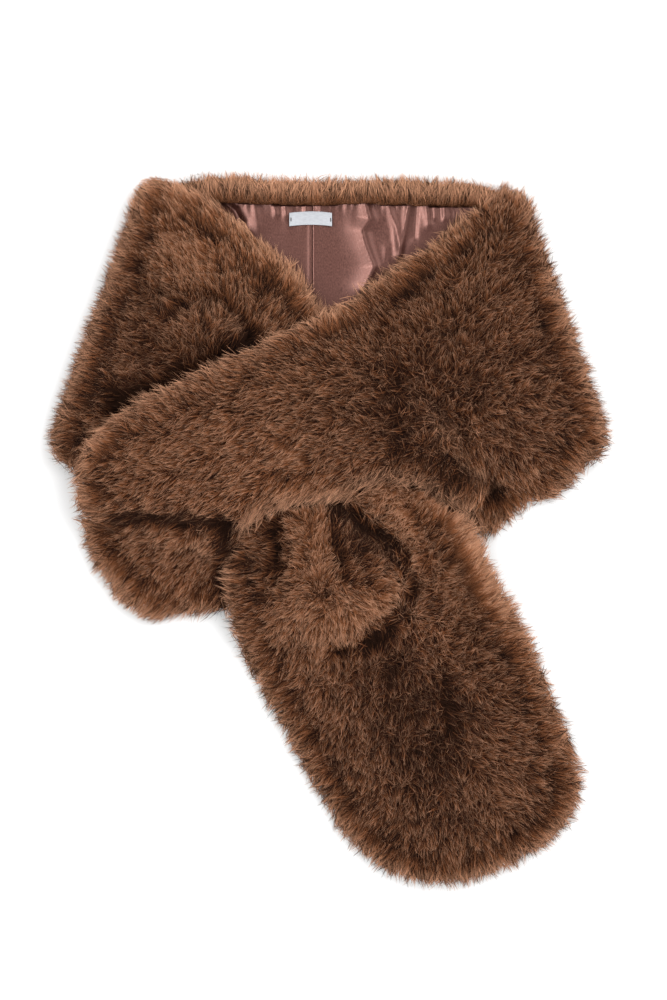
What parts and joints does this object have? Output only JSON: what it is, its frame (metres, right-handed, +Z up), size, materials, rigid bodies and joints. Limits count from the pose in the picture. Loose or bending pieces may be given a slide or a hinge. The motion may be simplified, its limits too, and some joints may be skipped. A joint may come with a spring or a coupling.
{
  "type": "faux fur pull-through collar wrap",
  "caption": "Long-pile faux fur stole laid flat, folded at both shoulders, one end drawn through a slit in the other as a round tail, with satin lining in the neck opening.",
  "frame": {"origin": "on the surface that the wrap lies on, under the middle of its outline", "axes": "+Y from the tail's round end to the back's neck edge, +Z up off the surface, +X to the right as seen from above"},
  "size_m": [0.5551, 0.7084, 0.0686],
  "materials": {
    "fur": "matte long pile",
    "satin": "satin",
    "label": "matte woven"
  },
  "bodies": {
    "root": {"back_fur": "fur", "left_front": "fur", "right_front": "fur", "tail": "fur", "lining_left": "satin", "lining_right": "satin", "label": "label"}
  },
  "joints": []
}
